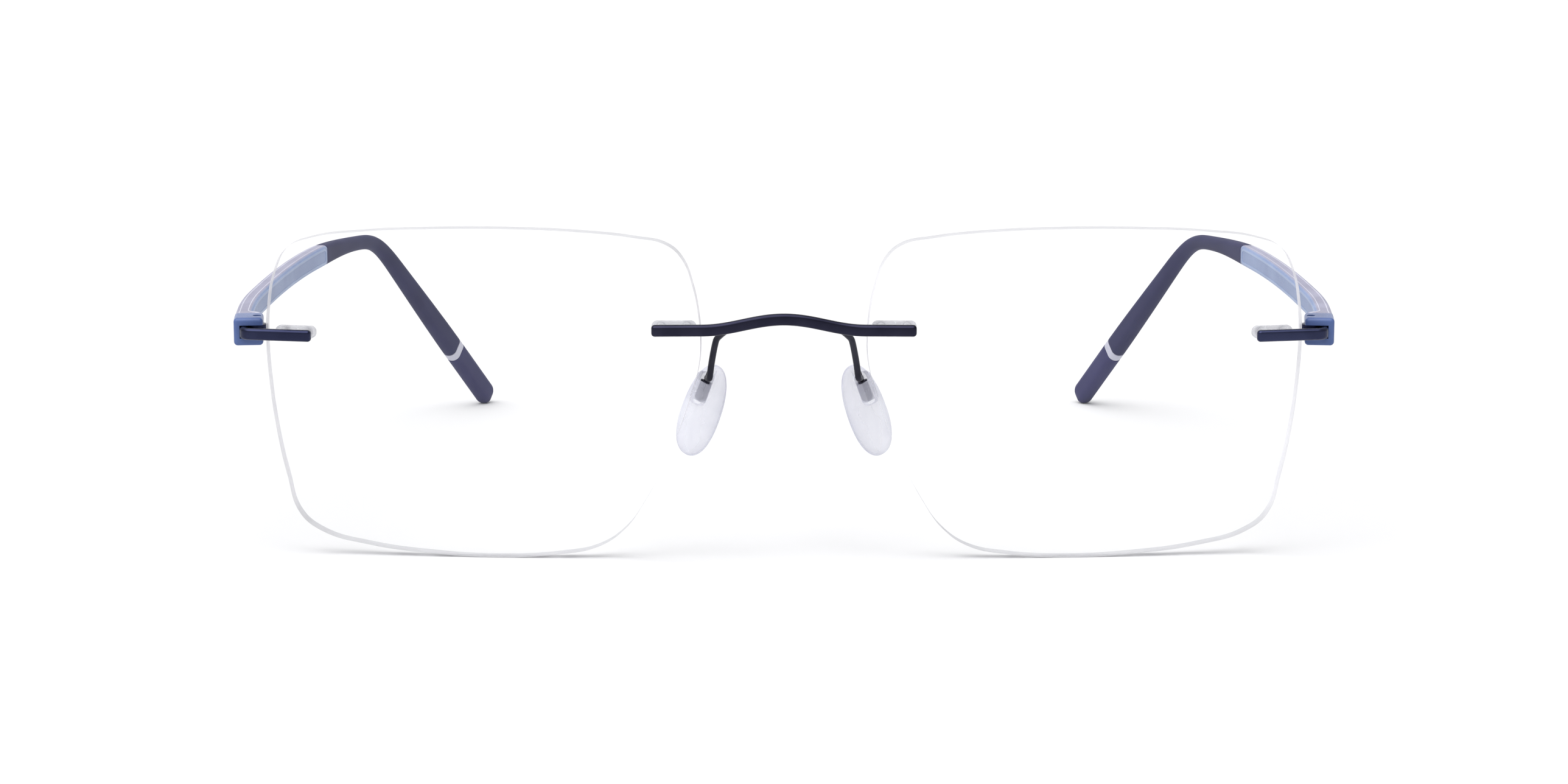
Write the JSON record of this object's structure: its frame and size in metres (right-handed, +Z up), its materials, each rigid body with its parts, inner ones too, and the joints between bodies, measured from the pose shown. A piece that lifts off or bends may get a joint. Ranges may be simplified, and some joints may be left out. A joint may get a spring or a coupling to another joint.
{
  "type": "rimless eyeglasses",
  "caption": "Rimless eyeglasses with clear lenses pinned to a slim metal bridge and end pieces, folding moulded temples with bent tips, and rocking nose pads.",
  "frame": {"origin": "on the table under the middle of the whole box, with the temples open", "axes": "+X to the wearer's left, +Y back from the lenses to the ears, +Z up"},
  "size_m": [0.1452, 0.1308, 0.0427],
  "materials": {
    "lens": "clear, polished, with ground edges",
    "bush": "translucent, moulded",
    "metal": "dark gunmetal, satin",
    "end_piece": "dark blue-grey, satin",
    "block": "blue body under a grey-lavender outer face, satin",
    "liner": "light blue, satin",
    "sleeve": "dark slate blue, matte",
    "ring": "pale grey, satin",
    "pad": "clear soft silicone",
    "steel": "bare, fine brushed"
  },
  "bodies": {
    "front": {"bridge": "metal", "left_lens": "lens", "left_end_piece": "end_piece", "left_pad_arm": "metal", "left_nasal_bush": "bush", "left_temporal_bush": "bush", "right_lens": "lens", "right_end_piece": "end_piece", "right_pad_arm": "metal", "right_nasal_bush": "bush", "right_temporal_bush": "bush"},
    "left_temple": {"left_temple_arm": "block", "left_temple_liner": "liner", "left_temple_sleeve": "sleeve", "left_tip_ring": "ring", "left_tip_cap": "sleeve", "left_temple_core": "steel", "left_hinge_pin": "steel"},
    "left_pad": {"left_nose_pad": "pad", "left_pad_clip": "steel"},
    "right_temple": {"right_temple_arm": "block", "right_temple_liner": "liner", "right_temple_sleeve": "sleeve", "right_tip_ring": "ring", "right_tip_cap": "sleeve", "right_temple_core": "steel", "right_hinge_pin": "steel"},
    "right_pad": {"right_nose_pad": "pad", "right_pad_clip": "steel"}
  },
  "joints": [
    {"name": "left_temple_fold", "type": "hinge", "parent": "front", "child": "left_temple", "pos_m": [0.06766, -0.05554, 0.02881], "axis": [0, 0, 1], "range_deg": [0, 80]},
    {"name": "right_temple_fold", "type": "hinge", "parent": "front", "child": "right_temple", "pos_m": [-0.06766, -0.05554, 0.02881], "axis": [0, 0, -1], "range_deg": [0, 72]},
    {"name": "left_pad_rock", "type": "hinge", "parent": "front", "child": "left_pad", "pos_m": [0.01131, -0.05641, 0.01861], "axis": [-0.342, 0, 0.9397], "range_deg": [-5, 5]},
    {"name": "right_pad_rock", "type": "hinge", "parent": "front", "child": "right_pad", "pos_m": [-0.01131, -0.05641, 0.01861], "axis": [0.342, 0, 0.9397], "range_deg": [-5, 5]}
  ]
}
